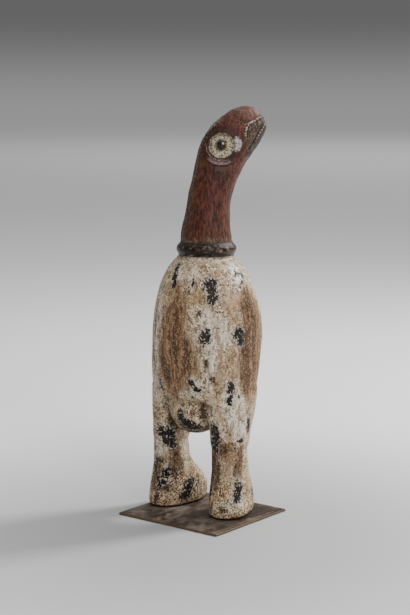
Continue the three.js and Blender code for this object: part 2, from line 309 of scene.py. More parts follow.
# %% Black dabs
BLACK_DABS = {
    "body": [
        (-13, 305, 4.4, 8),  # left of the spine, under the collar
        (-9.5, 297, 4.8, 9), (-6.5, 289, 4, 7),
        (20.4, 292.2, 1.7, 8.5),  # a thin stroke
        (43, 289, 9, 10),  # the large one on the right shoulder
        (44, 281, 8.6, 10), (45, 273.5, 8.4, 8.5, 0.1), (37, 227.8, 7.8, 10.6, 0.05),
        (74, 230.5, 9.4, 8), (77, 221.5, 6.6, 9),
        (20.5, 171, 5, 5.4, -0.4),  # above the arch
        (27, 163.5, 5.8, 5.4, -0.4), (21, 153.5, 4.4, 2.6),
        (63.5, 165, 6.4, 9),  # right thigh
        (62.5, 151, 5, 9, 0.1), (73.3, 153.6, 2.2, 3.4),
        (-26.9, 162.1, 3.4, 9, -0.2),  # left thigh
        (-31.2, 244.4, 2.2, 3.4),
        (84, 303, 3, 6),  # torn bits on the bright shoulder
        (96, 296, 2.6, 5, 0.1),
        (-52, 278, 8.4, 13, 0.1), (-66, 226, 8, 12, -0.1), (-56, 168, 7, 15), (-118, 272, 8, 14),
        (162, 286, 8.6, 14, 0.1), (198, 248, 8.2, 14, -0.1), (150, 232, 7.4, 11.6, 0.1),
        (178, 188, 9.4, 12), (214, 180, 7.4, 15),
    ],
    "pouch": [
        (2, 122.5, 8, 8), (8, 119, 11, 9, -0.2), (20, 115.5, 13, 8.4, -0.2), (38, 113, 11, 5.4),
        (-6, 113, 5.4, 6.4, -0.3),
    ],
    "left": [
        (8, 98.5, 9.8, 8.4), (32, 97, 8, 9.4), (27, 88, 9.4, 11, -0.4), (19, 45.5, 6.6, 10.4, 0.3),
        (13, 36, 7.2, 6.6),
        (-4, 61, 5.4, 2.8),  # thin strokes round the dab on the left foot
        (-16, 51, 3.2, 9, -0.3), (-6, 40, 3.2, 8, -0.4), (5, 31, 7, 2.8, -0.3),
        (97, 28.5, 10.4, 11, 0.5), (82, 17.5, 11.6, 9, 0.4),
        (186, 106, 7.4, 15, -0.1), (198, 32, 10.4, 11, -0.2), (-70, 62, 7.4, 14),
        (-96, 34, 10, 10, 0.3),
    ],
    "right": [
        (-14, 112, 5.4, 10),  # inner arris of the right leg
        (-2, 106, 5.6, 13, -0.1), (-10, 94, 8, 13), (63.5, 42.5, 7, 11), (58, 31.5, 7, 9, 0.2),
        (112, 117.6, 4.6, 11), (-22, 32.9, 4.4, 8.5), (73, 99.8, 6.4, 3.4),
        (176, 98, 7.4, 15, 0.1), (166, 30, 10.4, 11, 0.2),
    ],
}
black = dab_field(BLACK_DABS)
print("points under black paint:", int((black > 0).sum()))

# %% Bare bands, as height, then the angles of the right-hand and left-hand edge
BACK_BAND = [(148, -2, -14), (157, 1, -17), (170, 14, -20), (190, 24, -21), (215, 22, -17),
             (240, 16, -13), (258, 13, -8), (276, 8, -2), (286, 3, 0)]
FLANK_BAND = [(150, 96, 86), (156, 110, 82), (167, 122, 77), (186, 126, 73), (208, 124, 74),
              (231, 120, 82), (262, 112, 77), (276, 104, 84), (284, 98, 92)]
BAND_FADE = 9


def band_field(band, mirror=False):
    """1 well inside a band down the body, 0 at its edge and less outside."""
    levels, right, left = (np.array(column, float) for column in zip(*band))
    to_left_side, to_back = (points[:, :2] - LIMBS["body"]).T
    angle = np.degrees(np.arctan2(-to_left_side, to_back))
    angle = -angle if mirror else angle
    reach = np.hypot(to_left_side, to_back)
    to_right = np.radians(np.interp(points[:, 2], levels, right) - angle) * reach
    to_left = np.radians(angle - np.interp(points[:, 2], levels, left)) * reach
    to_end = np.minimum(points[:, 2] - levels[0], levels[-1] - points[:, 2])
    return np.clip(np.minimum(np.minimum(to_right, to_left), to_end) / BAND_FADE, -2, 1)


WORN_PATCHES = {
    "right": [
        (13, 86, 7.6, 8, 0.1),  # under the step of the right knee
        (-14, 74, 4.4, 20), (75, 72, 3.6, 15, 0.1),
    ],
    "left": [(52, 66, 5, 9, 0.1), (-6, 44, 3, 15, 0.2), (-100, 88, 8, 20)],
    "body": [(18, 207, 6.4, 15), (180, 226, 12, 16), (-60, 298, 9, 6)],
}
bare = np.maximum(band_field(BACK_BAND), band_field(FLANK_BAND))
bare = np.maximum(bare, band_field(FLANK_BAND, mirror=True))
bare = np.maximum(bare, dab_field(WORN_PATCHES))
print("points of bare wood:", int((bare > 0).sum()))

# %% Brown washes, where the cream has thinned but not gone
BROWN_WASHES = {
    "body": [
        (-6, 268, 13, 20, 0.1),  # over the top of the back band
        (10, 262, 12, 22),
        (27, 271, 10, 8),  # below the large dab
        (32, 309, 9, 5),
        (72, 266, 12, 14),  # over the top of the flank band
        (90, 274, 9, 12),
        (88, 170, 8, 14),  # and over its foot
        (52, 284, 10, 12), (30, 226, 8, 34), (36, 184, 18, 10), (10, 166, 12, 8),
        (-34, 150, 9, 16), (150, 280, 16, 12), (205, 220, 14, 24), (-110, 290, 18, 12),
        (-50, 200, 12, 30), (-128, 180, 12, 30), (180, 160, 30, 10),
    ],
    "pouch": [(36, 136, 18, 10), (-30, 128, 16, 14)],
    "left": [
        (15, 122, 22, 15), (-30, 110, 9, 30), (50, 64, 10, 16), (-4, 41, 6, 17, 0.2),
        (27, 26, 17, 5), (66, 50, 7, 12), (20, 10, 30, 6), (80, 24, 14, 12), (180, 40, 16, 30),
        (-90, 40, 20, 26), (-60, 112, 14, 20), (190, 20, 24, 12),
    ],
    "right": [
        (-8, 62, 7, 32), (40, 78, 9, 16), (73, 74, 6, 17, 0.1), (15, 90, 16, 5), (2, 36, 12, 12),
        (60, 10, 26, 6), (180, 40, 16, 30), (174, 20, 24, 12), (110, 40, 12, 24),
    ],
}
brown = dab_field(BROWN_WASHES)
print("points washed brown:", int((brown > 0).sum()))

# %% Pale patches, where the cream is thick and clean
PALE_PATCHES = {
    "body": [
        (-24, 262, 4, 26),  # the strip left of the back band
        (-27, 225, 4, 26), (-35, 185, 4.6, 24), (-44, 155, 7, 20), (37, 248, 16, 12),
        (34, 222, 20, 17),  # round the middle dab
        (56, 232, 12, 20),
        (14, 160, 15, 9),  # over the arch
        (28, 172, 10, 9),
        (66, 146, 19, 34),  # right thigh
        (82, 306, 5, 5),  # right shoulder
        (35, 319, 40, 3.6),  # under the collar
        (-6, 298, 10, 14), (20, 296, 8, 14),
        # the next patch lightens the right side of the flank band where it faces the lamp: painted light
        (106, 222, 3, 50),  # the flank band's lighter side
        (58, 132, 16, 20), (170, 250, 26, 40), (-80, 240, 8, 50), (-120, 200, 18, 40),
    ],
    "right": [
        (60, 112, 16, 24), (60, 40, 12, 14), (30, 20, 16, 10), (30, 64, 12, 18), (70, 24, 14, 14),
        (160, 90, 14, 34),
    ],
    "left": [
        (88, 78, 9, 30), (10, 110, 10, 4.5), (27, 57.5, 8, 5.6), (2, 80, 9, 14), (200, 90, 14, 34),
    ],
}
pale = dab_field(PALE_PATCHES)
print("points of clean cream:", int((pale > 0).sum()))

# %% Umber strokes, thin and dark, round the dabs and down the legs
UMBER_STROKES = {
    "left": [
        (-15, 44.5, 5.4, 17, 0.1),  # an arc round the dab on the left foot
        (-6, 61, 9, 4.6), (-19, 52, 5.4, 9), (-13, 42, 5.6, 10, 0.2), (2, 29, 11, 5.4),
        (60, 52, 7, 8), (44, 52, 9, 16), (64, 56.5, 6, 10), (14, 27.5, 15, 5.6), (-1, 15, 3.4, 10),
        (78, 13, 8, 6, 0.3), (45, 77, 7, 10), (40, 110, 6, 20), (190, 66, 6, 24), (-84, 84, 6, 22),
        (-60, 24, 14, 5), (200, 18, 12, 5),
    ],
    "right": [
        (-20.7, 68, 6, 30),  # down the inner side of the right leg
        (-1.4, 56, 4.4, 18),
        (15.5, 90.5, 15, 4.8, 0.1),  # under the step of the knee
        (6, 93.5, 9, 2.2), (34, 96.5, 9, 2.2, 0.3), (73.3, 82, 4.2, 12, 0.1),
        (61, 67, 4.2, 11, 0.2), (21, 16, 6, 4), (170, 70, 6, 24), (196, 20, 12, 5),
    ],
    "pouch": [(52, 131, 4.6, 11), (38, 111, 14, 5), (8, 105, 14, 4.6, -0.3), (0, 131, 5, 5)],
    "body": [
        # the first two strokes darken the notch beside the raised bit: painted shade
        (37.5, 195, 3.2, 6),  # beside and under the raised bit
        (44, 177.5, 3.4, 7), (84, 161.3, 5, 8), (5.1, 244, 2.2, 20), (16.5, 217, 3.4, 11, 0.1),
        (-16.1, 205, 2.4, 20), (-12.5, 178, 4, 10), (82.5, 258, 4.6, 10), (89, 230.4, 3.6, 14),
        (92, 264, 8, 15), (97, 252, 5, 14), (86, 178, 7, 14), (100, 236, 4.4, 26),
        (98, 196, 5, 26), (79, 212, 5, 16), (78.5, 190, 5, 24), (84, 210, 7, 40), (2, 212, 4, 24),
        (16, 196, 5, 12, 0.1),
        (-31, 240, 2.4, 14),  # thin lines at the far left
        (-37, 200, 2.4, 18), (83, 184, 3, 15), (30.1, 256, 3, 3.6),
        (-90, 222, 5.6, 20), (-80, 190, 5, 22), (-104, 196, 4, 18), (176, 212, 5.4, 18),
        (148, 196, 4, 16, 0.1), (206, 262, 4.4, 12), (-128, 226, 4, 18, 0.1),
    ],
}
umber = dab_field(UMBER_STROKES)
print("points under umber strokes:", int((umber > 0).sum()))

# %% Ochre stains
OCHRE_STAINS = {
    "body": [
        (27.6, 275, 11, 10), (50, 301, 6, 5), (-14.2, 284, 9, 12, 0.3),
        (60, 192, 15, 21),  # the smooth tan hollow of the right hip
        (50, 170, 7, 20, 0.1), (90, 146, 7, 9), (68, 252, 6, 16), (150, 200, 18, 20),
        (-120, 270, 14, 12), (186, 270, 14, 16),
    ],
    "right": [
        (14, 132, 4, 18, -0.3),  # down the crease of the right thigh
        (32, 112, 4.4, 16, -0.3), (46, 80, 8, 16), (22, 50, 13, 20),
    ],
    "left": [(60, 100, 8, 14), (110, 40, 9, 12)],
}
ochre = dab_field(OCHRE_STAINS)
print("points with ochre:", int((ochre > 0).sum()))

# %% [markdown]
# The surface itself is old hand work: slow waves and shallow scallops left by the adze, open
# grain where the wood is bare, a thin crust where the paint holds, and a few drying cracks.
# Each is a height in millimetres that is added along the skin's own direction. Displace
# modifiers could do the waves, but not the grooves that follow the eyes, beak and nape.

# %% Waves, scallops, grain and crust
def smooth_step(low, high, value):
    """0 at low, 1 at high, smooth between. It also falls, where low is the larger one."""
    t = np.clip((value - low) / (high - low), 0, 1)
    return t * t * (3 - 2 * t)


def ripple(size, tall=1, shift=0, octaves=2):
    """Noise from about -1 to 1, with bumps that are size wide and tall times as high."""
    places_in_noise = points / np.array([size, size, size * tall]) + shift
    return np.array([noise.fractal(Vector(spot), 1, 2, octaves) for spot in places_in_noise])


def scallops(size, tall, shift):
    """Shallow hollows side by side, 0 in their middles and up to about 1 on the ridges between."""
    places_in_noise = points / np.array([size, size, size * tall]) + shift
    return np.array([min(noise.voronoi(Vector(spot))[0][0], 1) for spot in places_in_noise]) ** 2


COLLAR_HEIGHT, COLLAR_RADIUS, COLLAR_SECTION = 327.2, 29.8, 8.6
NECK_FROM, BODY_END = (331, 336), (318, 322)
neck_foot = HEAD_START[:2]
from_neck = np.hypot(points[:, 0] - neck_foot[0], points[:, 1] - neck_foot[1])
ring_gap = np.hypot(from_neck - COLLAR_RADIUS, points[:, 2] - COLLAR_HEIGHT)
collar = np.clip((COLLAR_SECTION - ring_gap) / 1.2, -2, 1)
on_neck = smooth_step(*NECK_FROM, points[:, 2]) * (1 - smooth_step(-0.5, 0.5, collar))
on_body = 1 - smooth_step(*BODY_END, points[:, 2])

worn = smooth_step(-0.15, 0.25, bare + 0.35 * ripple(6, 2, 3.1))
grain = ripple(2.9, 13, 7.7, 3)
relief = 0.42 * ripple(36, 1.3, 1.3) + 0.3 * scallops(13, 1.8, 5.2)
relief += on_body * (1 - worn) * (0.16 + 0.3 * ripple(3.7, 1.1, 9.4, 3))
relief -= on_body * worn * 0.42 * smooth_step(-0.1, 0.5, grain)
relief += on_neck * (0.22 * ripple(5.5, 7, 2.2, 3) - 0.22 * smooth_step(0.1, 0.5, grain))
relief += smooth_step(0, 1, collar) * 0.3 * ripple(8, 0.6, 4.4)
relief += 0.14 * smooth_step(-0.1, 0.3, black) * on_body
NOTCH = {"body": [(38, 195.5, 3.2, 5.2), (42, 180, 3.2, 6)]}
NOTCH_RIDGE = {"body": [(43, 191, 3.4, 10.5)]}
relief -= 1.5 * smooth_step(-0.05, 0.35, dab_field(NOTCH))
relief += 1 * smooth_step(-0.05, 0.35, dab_field(NOTCH_RIDGE))
print("surface relief in mm:", relief.min().round(2), relief.max().round(2))

# %% Eyes, beak, mouth and the beads on the nape
EYE_DISC, LID_GROOVE, LID_RIDGE, LID_FOLD = 16.3, 19.8, 22.3, 25.3
IRIS_GROOVE, PUPIL = 6.4, 5.8
forward, height, across = head_place(points)
eyes = eye_place(points)
on_head = (height > HEAD_FROM) & (np.abs(eyes[:, 2]) < EYE_DEEP)
eye_reach = np.where(on_head, np.hypot(eyes[:, 0], eyes[:, 1]), 99)
eye_angle = np.degrees(np.arctan2(eyes[:, 1], eyes[:, 0]))
beak, _ = from_line(forward, height, BEAK_BASE)
mouth, mouth_run = from_line(forward, height, MOUTH)
nape, nape_run = from_line(forward, height, NAPE)
beak = np.where(height > 420, beak, -99)


def groove(distance, width):
    """1 on a line, falling to 0 at width from it."""
    return smooth_step(width, 0, np.abs(distance))


BEAD_STEP, BEAD_RADIUS = 4.4, 1.35
bead_gap = np.hypot(nape_run % BEAD_STEP - BEAD_STEP / 2, across - BEAD_ACROSS)
beads = smooth_step(BEAD_RADIUS, 0.3, bead_gap) * (np.abs(nape) < 9) * (height > 405)
lid = smooth_step(50, 38, np.abs(eye_angle + 92))
calm = smooth_step(15, 17.5, eye_reach)
relief *= 0.35 + 0.65 * calm
relief -= 0.55 * groove(eye_reach - EYE_DISC - 0.6, 1)
low_and_behind = smooth_step(-30, 60, -eyes[:, 0] * 4 - eyes[:, 1] * 4)
relief -= 0.4 * groove(eye_reach - LID_GROOVE, 1) * low_and_behind
relief += 0.9 * groove(eye_reach - LID_RIDGE, 2.3) * lid
relief -= 0.45 * groove(eye_reach - LID_FOLD, 1.4) * lid
relief -= 0.5 * groove(eye_reach - IRIS_GROOVE, 0.9)
relief += 0.8 * np.clip(1 - (eye_reach / PUPIL) ** 2, 0, 1)
crusty = smooth_step(446, 462, height)
relief += crusty * (0.45 + 0.6 * ripple(2.9, 1, 6.1)) * groove(beak, 1.5)
relief -= crusty * 0.4 * groove(np.abs(beak) - 2.2, 1.2)
relief -= 0.7 * groove(mouth, 1.3) * (height > 440)
relief += 0.85 * beads
print("beads on the nape:", int(nape_run[beads > 0.5].max() // BEAD_STEP))

# %% Cracks and creases
CRACKS = [
    # limb, angle, lowest and highest place, width, depth, lean
    ("body", 40.5, 160, 184, 1.1, 0.9, 0.05),  # under the cut of the right thigh
    ("body", -4, 190, 262, 0.9, 0.7, 0.02),
    ("body", 8, 176, 236, 0.9, 0.7, -0.03),
    ("body", 96, 176, 258, 1, 0.8, 0.02),
    ("body", -97, 182, 250, 1, 0.8, 0),
    ("body", 171, 170, 268, 1.2, 1, 0.03),
    ("right", -2, 58, 84, 0.9, 0.6, 0),
    ("left", 20, 52, 74, 0.9, 0.6, 0),
]
for limb, angle, low, high, width, depth, lean in CRACKS:
    middle, sideways, outward = skin_at(limb, angle, (low + high) / 2)
    away = points - middle
    aside = away @ sideways - lean * away[:, 2] + 0.8 * ripple(9, 3, angle, 1)
    inside = smooth_step(low, low + 6, points[:, 2]) * smooth_step(high, high - 6, points[:, 2])
    relief -= depth * groove(aside, width) * inside * (np.abs(away @ outward) < 22)

THIGH_CREASE = [(-36.9, 176), (-41.2, 155), (-44.6, 135.5), (-48.3, 114.3), (-52.7, 101.9)]
crease, _ = from_line(points[:, 0], points[:, 2], THIGH_CREASE)
crease = np.where(points[:, 1] > -8, crease, 99)
relief -= 0.9 * smooth_step(5, 0, np.abs(crease))

# %% Carve it all into the skin
SOLE, SOLE_SKIN = 3, 1.2
FOOT_SPREAD, SPREAD_HEIGHTS, NEAR_BOX_SIDE = 1.8, (26, 6), (78, 71)
flat_sole = (points[:, 2] < SOLE + SOLE_SKIN) & (normals[:, 2] < -0.7)
carved = points + normals * relief[:, None]
# the feet stand a little fuller at the sole, but not towards the gap between the legs, and
# less where the left one comes near the side of the model's box
sideways_out = normals[:, :2] / np.maximum(np.hypot(normals[:, 0], normals[:, 1]), 0.35)[:, None]
towards_gap = -sideways_out[:, 0] * np.sign(points[:, 0] - MIDDLE_X)
spread = FOOT_SPREAD * smooth_step(*SPREAD_HEIGHTS, points[:, 2])
spread *= 1 - smooth_step(0.1, 0.7, towards_gap)
spread *= smooth_step(*NEAR_BOX_SIDE, points[:, 0])
carved[:, :2] += sideways_out * spread[:, None]
print("widest spread of the feet in mm:", spread.max().round(2))
carved = np.clip(carved, np.array(cad_low) / MM, np.array(cad_high) / MM)
carved[:, 2] = np.where(flat_sole, SOLE, np.maximum(carved[:, 2], SOLE))
figure.data.vertices.foreach_set("co", (carved * MM).ravel())
figure.data.update()
only(figure)
bpy.ops.object.shade_smooth()
print("carved points:", len(points))

# %% [markdown]
# The material darkens hollows, with dirt and painted shade, and lightens what stands proud, as
# painted light, so it needs to know which is which. Each point is averaged with its neighbours,
# 4 times for small hollows and 24 times for wide ones. How far that moves it outward says how
# hollow its place is.

# %% Store the fields on the skin
def hollowness(rounds):
    """More than zero in hollows and less on what stands proud, in millimetres."""
    ends = np.empty(len(figure.data.edges) * 2, dtype=np.int32)
    figure.data.edges.foreach_get("vertices", ends)
    first, second = ends.reshape(-1, 2).T
    count = len(places)
    degree = np.bincount(first, minlength=count) + np.bincount(second, minlength=count)
    average = places.copy()
    for _ in range(rounds):
        total = np.stack([
            np.bincount(first, average[second, axis], count)
            + np.bincount(second, average[first, axis], count) for axis in range(3)
        ], axis=1)
        average = 0.5 * average + 0.5 * total / degree[:, None]
    return np.sum((average - places) * outward_now, axis=1)


places, outward_now = skin_points()
hollow = hollowness(4) / 0.12 + hollowness(24) / 0.9
hollow = np.clip(hollow, -2, 2)
print("hollowness, lowest 5 %, half and 95 %:", np.percentile(hollow, [5, 50, 95]).round(2))
NECK_MIDDLE = [(0, 300), (0.3, 344), (3.8, 380), (8.5, 402), (14.6, 422),
               (22.5, 440), (32, 454), (43, 467), (58, 481.5), (70, 492)]
behind, _ = from_line(forward, height, NECK_MIDDLE)
band_width = np.interp(height, [330, 455, 474, 490], [10, 9, 9, 3])
nape_band = np.where((behind > 0) & (height > 325), (band_width - np.abs(across)) / 5, -2)
throat_band = np.minimum((7 - np.abs(across)) / 5, (height - 404) / 9)
throat_band = np.where(behind < 0, np.maximum(throat_band, -2), -2)
RED_EDGE, RED_FADE, FAR = 339, 6, 99
SHINY_SHOULDER = {"body": [(88, 297, 12.5, 14)]}
FIELDS = {
    "black": black,
    "bare": bare,
    "ochre": ochre,
    # the notch is washed brown as painted shade in it
    "brown": np.maximum(brown, dab_field(NOTCH) + 0.2),
    "umber": umber,
    "shiny": dab_field(SHINY_SHOULDER),
    # the ridge beside the notch is painted pale as painted light on it
    "pale": np.maximum(pale, dab_field(NOTCH_RIDGE) + 1.6),
    "collar": collar,
    "hollow": hollow,
    "neck": np.clip((points[:, 2] - RED_EDGE) / RED_FADE, -2, 2),
    "rim": np.maximum(nape_band, throat_band),
    "beads": beads,
    "beak": np.clip(beak, -30, 30),
    "mouth": np.clip(np.where(height > 436, mouth, 30 * np.sign(mouth)), -30, 30),
    "mouth_run": mouth_run,
    "head_forward": np.where(height > 340, forward, -FAR),
    "head_height": height,
    "eye_x": eyes[:, 0],
    "eye_y": np.where(on_head, eyes[:, 1], np.where(eyes[:, 1] > 0, FAR, -FAR)),
}
for name, values in FIELDS.items():
    attribute = figure.data.attributes.new(name, "FLOAT", "POINT")
    attribute.data.foreach_set("value", np.asarray(values, dtype=np.float32))
print("fields on the skin:", *FIELDS)

# %% [markdown]
# Now the materials. Each is built from layers, as the real surface was: wood first, then
# cream, stains, black, red and dirt. A few small helpers place the nodes. Two effects are used
# by both materials and are node groups: one tears the edge of a field with noise, and one
# makes specks. The helpers add to the node tree that is called tree at the time.

# %% Wires between nodes
def tone(red, green, blue):
    """A colour as it is mixed on screen, 0 to 255, turned into light."""
    return (*[(c / 255) ** 2.2 for c in (red, green, blue)], 1)


def grey(level):
    """A grey as light."""
    return (level, level, level, 1)


class Wire:
    """What comes out of a node. Sums of wires make Math nodes in tree, the one being built."""

    def __init__(self, socket):
        self.socket = socket

    def __add__(self, other):
        return maths("ADD", self, other)

    def __sub__(self, other):
        return maths("SUBTRACT", self, other)

    def __rsub__(self, other):
        return maths("SUBTRACT", other, self)

    def __mul__(self, other):
        return maths("MULTIPLY", self, other)

    def __truediv__(self, other):
        return maths("DIVIDE", self, other)

    def __abs__(self):
        return maths("ABSOLUTE", self)


def feed(socket, value):
    """Connect a socket to a wire, or set its value."""
    if isinstance(value, Wire):
        tree.links.new(value.socket, socket)
    else:
        socket.default_value = value


def maths(operation, *values, clamp=False):
    """One Math node."""
    node = tree.nodes.new("ShaderNodeMath")
    node.operation = operation
    node.use_clamp = clamp
    for socket, value in zip(node.inputs, values):
        feed(socket, value)
    return Wire(node.outputs[0])


def step(value, low, high, most=1, least=0):
    """Smooth change from the least to the most as a value goes from low to high."""
    node = tree.nodes.new("ShaderNodeMapRange")
    node.interpolation_type = "SMOOTHSTEP"
    for socket, given in zip(node.inputs, (value, low, high, least, most)):
        feed(socket, given)
    return Wire(node.outputs[0])


def mix(factor, under, over, how="MIX"):
    """Lay one colour over another."""
    node = tree.nodes.new("ShaderNodeMix")
    node.data_type = "RGBA"
    node.blend_type = how
    for name, value in (("Factor_Float", factor), ("A_Color", under), ("B_Color", over)):
        feed(next(s for s in node.inputs if s.identifier == name), value)
    return Wire(next(s for s in node.outputs if s.identifier == "Result_Color"))


def lay(colour, coats):
    """Lay more colours over one, in turn, each through its own mask."""
    for mask, over in coats:
        colour = mix(mask, colour, over)
    return colour


print("middle grey as light:", round(tone(128, 128, 128)[0], 3))


# %% Places and patterns
def own_place():
    """The object's own coordinates."""
    return Wire(tree.nodes.new("ShaderNodeTexCoord").outputs["Object"])


def placed(rise=1, shift=(0, 0, 0), along_y=1):
    """The object's own coordinates, moved, and scaled by rise along the height."""
    mapping = tree.nodes.new("ShaderNodeMapping")
    for name, value in (("Vector", own_place()), ("Scale", (1, along_y, rise)), ("Location", shift)):
        feed(mapping.inputs[name], value)
    return Wire(mapping.outputs["Vector"])


def coordinates(place):
    """The three numbers of a place."""
    node = tree.nodes.new("ShaderNodeSeparateXYZ")
    feed(node.inputs["Vector"], place)
    return [Wire(socket) for socket in node.outputs]


def field_of(name):
    """A field that is stored on the skin."""
    node = tree.nodes.new("ShaderNodeAttribute")
    node.attribute_name = name
    return Wire(node.outputs["Fac"])


def cloudy(place, scale, detail, rough, twist=0):
    """Noise with a number of bumps to the metre."""
    node = tree.nodes.new("ShaderNodeTexNoise")
    for name, value in (("Vector", place), ("Scale", scale), ("Detail", detail),
                        ("Roughness", rough), ("Distortion", twist)):
        feed(node.inputs[name], value)
    return Wire(node.outputs["Fac"])


def spots(place, size, detail=2, rough=0.5, twist=0):
    """Noise whose bumps are about size millimetres wide."""
    return cloudy(place, 1 / (size * MM), detail, rough, twist)


print("fields to read:", sum(a.data_type == "FLOAT" for a in figure.data.attributes))


# %% The two shared effects, as node groups
def new_group(name, *labels):
    """A node group, its named inputs as wires, and the output that its mask goes to."""
    group = bpy.data.node_groups.new(name, "ShaderNodeTree")
    for label in labels:
        kind = "NodeSocketVector" if label == "Place" else "NodeSocketFloat"
        group.interface.new_socket(label, in_out="INPUT", socket_type=kind)
    group.interface.new_socket("Mask", in_out="OUTPUT", socket_type="NodeSocketFloat")
    given = group.nodes.new("NodeGroupInput").outputs
    made = group.nodes.new("NodeGroupOutput").inputs["Mask"]
    return group, [Wire(given[label]) for label in labels], made


def use_group(group, **values):
    """A node that holds a group, with its inputs given by name."""
    node = tree.nodes.new("ShaderNodeGroup")
    node.node_tree = group
    for name, value in values.items():
        feed(node.inputs[name], value)
    return Wire(node.outputs[0])


TEAR_SWING = 4
torn_edge, wires, made = new_group("torn_edge", "Field", "Place", "Scale", "Tear", "Softness")
tree = torn_edge
field, place, scale, tear, softness = wires
swing = (cloudy(place, scale, 4, 0.62) - 0.5) * (tear * TEAR_SWING)
feed(made, step(field + swing, softness * -1, softness))

specks, wires, made = new_group("specks", "Place", "Scale", "Level", "Softness")
tree = specks
place, scale, level, softness = wires
feed(made, step(cloudy(place, scale, 2.5, 0.6), level, level + softness))
print("shared effects:", [g.name for g in bpy.data.node_groups])


def torn(field, place, scale, tear, softness):
    """The mask of a field, with its edge torn by noise."""
    return use_group(torn_edge, Field=field, Place=place, Scale=scale, Tear=tear, Softness=softness)


def speckled(place, scale, level, softness):
    """A mask of specks, fewer where the level is higher."""
    return use_group(specks, Place=place, Scale=scale, Level=level, Softness=softness)


# %% What both materials need
def new_material(name):
    """A material, its node tree and its Principled shader."""
    material = bpy.data.materials.new(name)
    material.use_nodes = True
    shader = next(n for n in material.node_tree.nodes if n.type == "BSDF_PRINCIPLED")
    return material, material.node_tree, shader


def finish_shader(shader, height, distance, strength=1, **inputs):
    """Give a shader a bump and its other inputs, by name."""
    bump = tree.nodes.new("ShaderNodeBump")
    for name, value in (("Strength", strength), ("Distance", distance), ("Height", height)):
        feed(bump.inputs[name], value)
    feed(shader.inputs["Normal"], Wire(bump.outputs["Normal"]))
    for name, value in inputs.items():
        feed(shader.inputs[name.replace("_", " ")], value)


def dress(piece, material):
    """Give a piece one material, and no other."""
    piece.data.materials.clear()
    piece.data.materials.append(material)


print("materials that came with the frame:", [m.name for m in bpy.data.materials])

# %% [markdown]
# The wood's own colour comes first. Noise that is stretched along the height gives the grain,
# as the grain of the log ran upright. The cream over it isn't one colour: it is a thin chalky
# coat that has gone tan and grey, cleaner in some places and washed brown in others.

# %% Wood and cream
painted, tree, wood_shader = new_material("painted_wood")
plain = placed()
upright = placed(0.09)
steep = placed(0.28, (0.31, 0.17, 0.05))

fibres = spots(upright, 2.6, detail=4, rough=0.7)
bands = spots(steep, 9, detail=3, rough=0.6)
clouds = spots(plain, 16, detail=3)
patches = spots(steep, 6.5, detail=4, rough=0.65)
clean = torn(field_of("pale"), plain, 150, 0.7, 0.5)
hues = spots(placed(0.45, (0.7, 0.1, 0.5)), 11, detail=4, rough=0.6)
wood = mix(step(fibres, 0.38, 0.64), tone(92, 62, 39), tone(160, 122, 88))
wood = lay(wood, [
    (step(fibres, 0.58, 0.7, 0.8), tone(182, 142, 106)),
    (step(bands, 0.46, 0.6, 0.7), tone(78, 50, 31)),
    (step(hues, 0.53, 0.62, 0.65), tone(166, 130, 98)),
    (step(hues, 0.47, 0.39, 0.7), tone(106, 88, 58)),
    (clean * 0.3, tone(160, 124, 98)),
])
scratches = spots(placed(0.13, (0.4, 0.9, 0.2)), 2, detail=4, rough=0.7)
wood = lay(wood, [
    (step(scratches, 0.55, 0.63, 0.75), tone(192, 156, 120)),
    (step(scratches, 0.45, 0.38, 0.6), tone(66, 43, 28)),
])

cream = mix(step(clouds, 0.42, 0.6), tone(200, 175, 143), tone(180, 155, 126))
cream = lay(cream, [
    (clean * 0.95, tone(236, 222, 200)),
    (step(hues, 0.54, 0.64, 0.5), tone(196, 166, 148)),
    (step(hues, 0.46, 0.38, 0.5), tone(170, 158, 122)),
    (step(patches, 0.52, 0.66, 0.5), tone(146, 118, 90)),
])
stain = torn(field_of("ochre"), plain, 170, 0.8, 0.4)
cream = mix(stain * 0.75, cream, tone(160, 128, 86))
washed = torn(field_of("brown"), steep, 230, 1, 0.5)
wash = mix(step(clouds, 0.42, 0.58), tone(188, 152, 112), tone(138, 108, 78))
cream = mix(washed * 0.58, cream, wash)

umber_shown = torn(field_of("umber"), plain, 400, 0.9, 0.35)
umber_tone = mix(step(hues, 0.44, 0.56), tone(58, 45, 26), tone(62, 38, 24))
wood = mix(umber_shown * 0.8, wood, umber_tone)
cream = mix(umber_shown * 0.95, cream, umber_tone)

print("nodes with the cream:", len(tree.nodes))

# %% [markdown]
# The coat is peppered all over: dark pits where crumbs have come off and pale crumbs that are
# left. One noise gives both, pits from its high side and crumbs from its low side, so that they
# lie side by side. The bump reads the same noise later, so the pits are also hollow.

# %% Pits and crumbs, and the places with no paint
fine_pepper = spots(plain, 1.9, detail=2, rough=0.7)
coarse_pepper = spots(placed(shift=(0.8, 0.5, 0.6)), 4.6, detail=3, rough=0.7)
pepper = fine_pepper * 0.68 + coarse_pepper * 0.32
uneven_wear = spots(placed(0.6, (0.3, 0.8, 0.9)), 10, detail=4, rough=0.65)
rough_here = (1 - stain * 0.45) * step(uneven_wear, 0.4, 0.56, 1, 0.3)
rough_here = rough_here * (1 - clean * 0.2)
cream = mix(step(pepper, 0.51, 0.57, 0.95) * rough_here, cream, tone(54, 39, 27))
crumbs_here = rough_here * (1 - umber_shown * 0.65)
cream = mix(step(pepper, 0.48, 0.42, 0.9) * crumbs_here, cream, tone(255, 240, 214))
low_down = step(field_of("head_height"), 58, 16) * (1 - umber_shown * 0.8)
cream = lay(cream, [
    (low_down * step(pepper, 0.51, 0.55, 0.7), tone(60, 40, 25)),
    (low_down * step(pepper, 0.48, 0.43, 0.8), tone(255, 224, 182)),
])
smudges = speckled(placed(0.5, (0.9, 0.2, 0.4)), 150, 0.575, 0.07)
cream = lay(cream, [
    (smudges * 0.6, tone(84, 66, 52)),
    # the ridge by the notch painted pale: painted light
    (step(field_of("pale"), 1.2, 1.7, 0.85), tone(238, 224, 200)),
])

